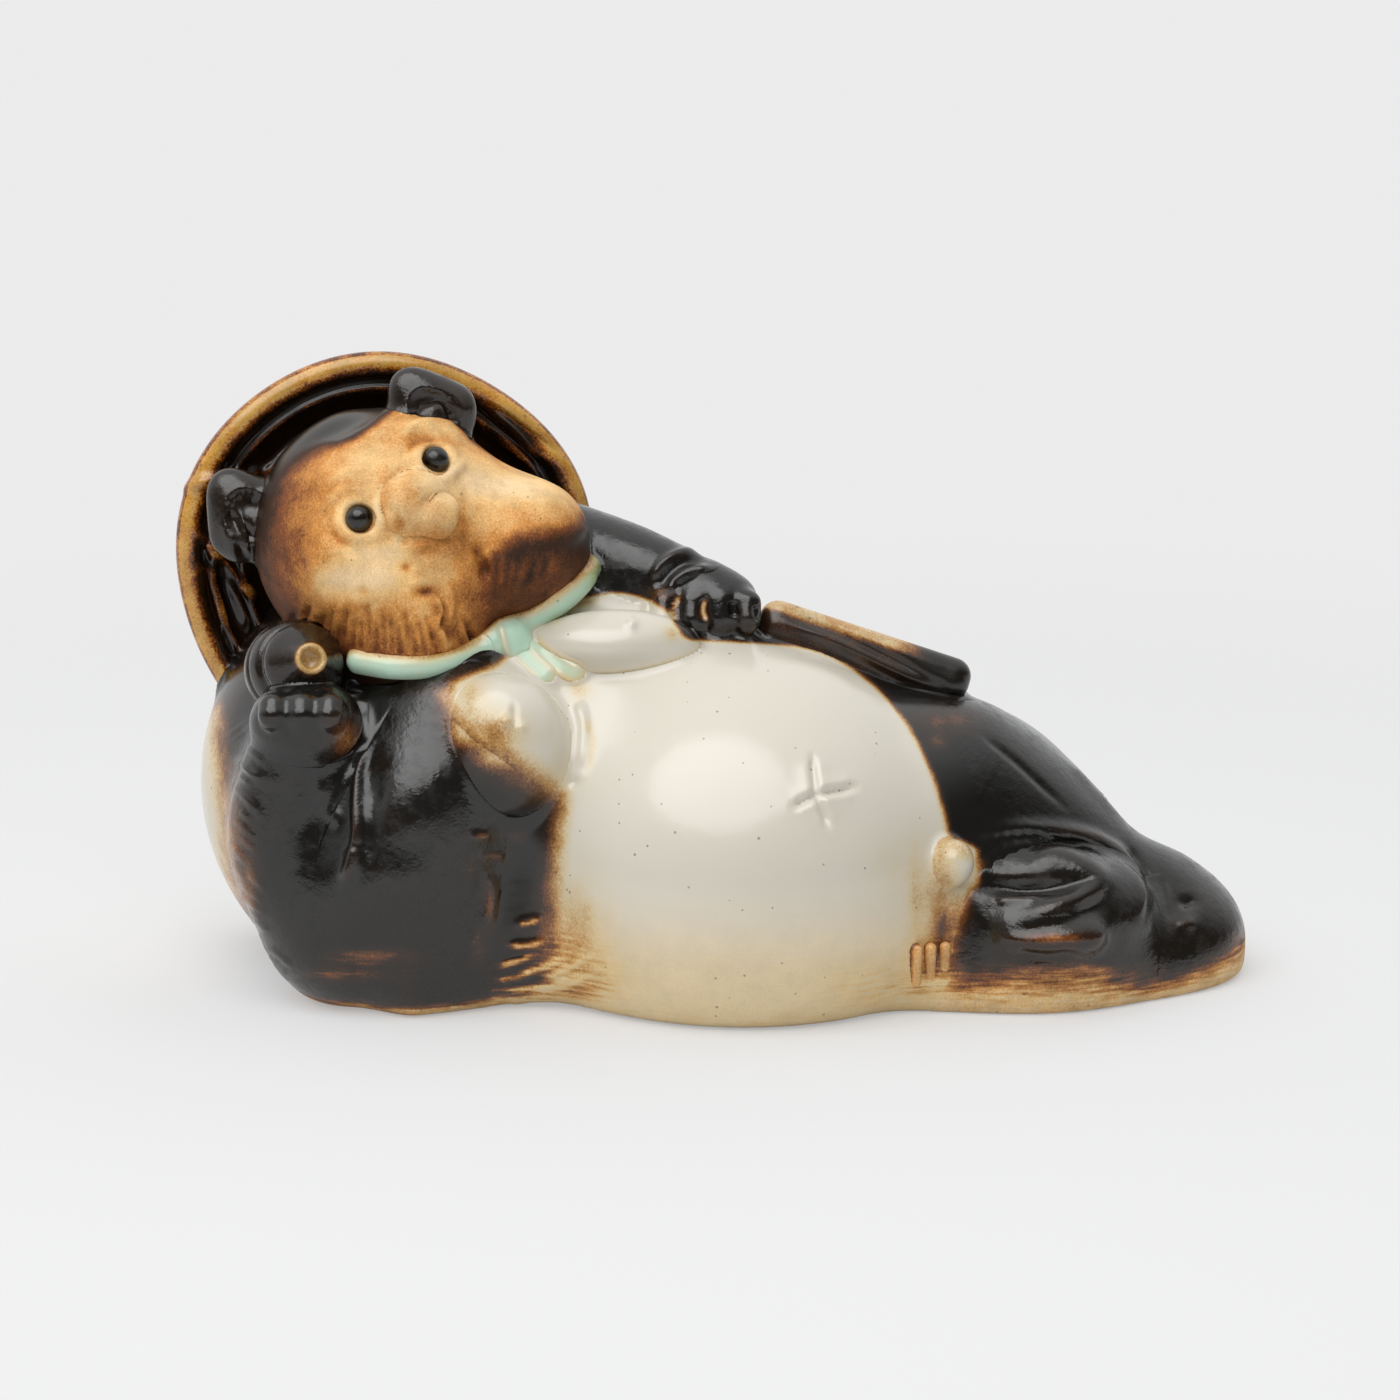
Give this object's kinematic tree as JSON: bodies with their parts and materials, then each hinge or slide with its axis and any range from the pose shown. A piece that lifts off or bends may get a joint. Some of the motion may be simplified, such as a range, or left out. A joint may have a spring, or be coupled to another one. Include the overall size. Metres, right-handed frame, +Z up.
{
  "type": "reclining raccoon-dog figurine",
  "caption": "Glazed stoneware raccoon-dog ornament lying on its side, with a straw hat behind its head, a flask at its paw and a ledger on its belly.",
  "frame": {"origin": "a point on the flat base, under the middle of the body", "axes": "+X from the head towards the feet, -Y towards the belly and the viewer, +Z up"},
  "size_m": [0.1981, 0.1016, 0.113],
  "materials": {
    "cream_glaze": "glossy cream glaze with fine specks, thinning to buff clay near the base",
    "black_glaze": "glossy black iron glaze that breaks to brown on edges",
    "buff_clay": "satin buff stoneware with sprayed brown shading",
    "amber_glaze": "amber glaze with brown specks, near black inside the hat",
    "green_glaze": "pale green glaze with cream edges",
    "brown_glaze": "brown glaze with a cream cover edge"
  },
  "bodies": {
    "root": {"torso_front": "cream_glaze", "torso_back": "cream_glaze", "hat": "amber_glaze", "right_eye": "black_glaze", "left_eye": "black_glaze", "head": "buff_clay", "muzzle": "buff_clay", "nose": "buff_clay", "right_ear": "black_glaze", "left_ear": "black_glaze", "right_breast": "cream_glaze", "left_breast": "cream_glaze", "right_arm": "black_glaze", "right_paw": "black_glaze", "flask": "black_glaze", "left_arm": "black_glaze", "left_paw": "black_glaze", "ledger": "brown_glaze", "left_leg": "black_glaze", "right_leg": "black_glaze", "left_foot": "black_glaze", "right_foot": "black_glaze", "strap_knot": "green_glaze", "strap_right": "green_glaze", "strap_left": "green_glaze", "strap_tail_right": "green_glaze", "strap_tail_left": "green_glaze", "nub": "cream_glaze", "fur_lock_1": "buff_clay", "fur_lock_2": "buff_clay", "fur_lock_3": "buff_clay"}
  },
  "joints": []
}
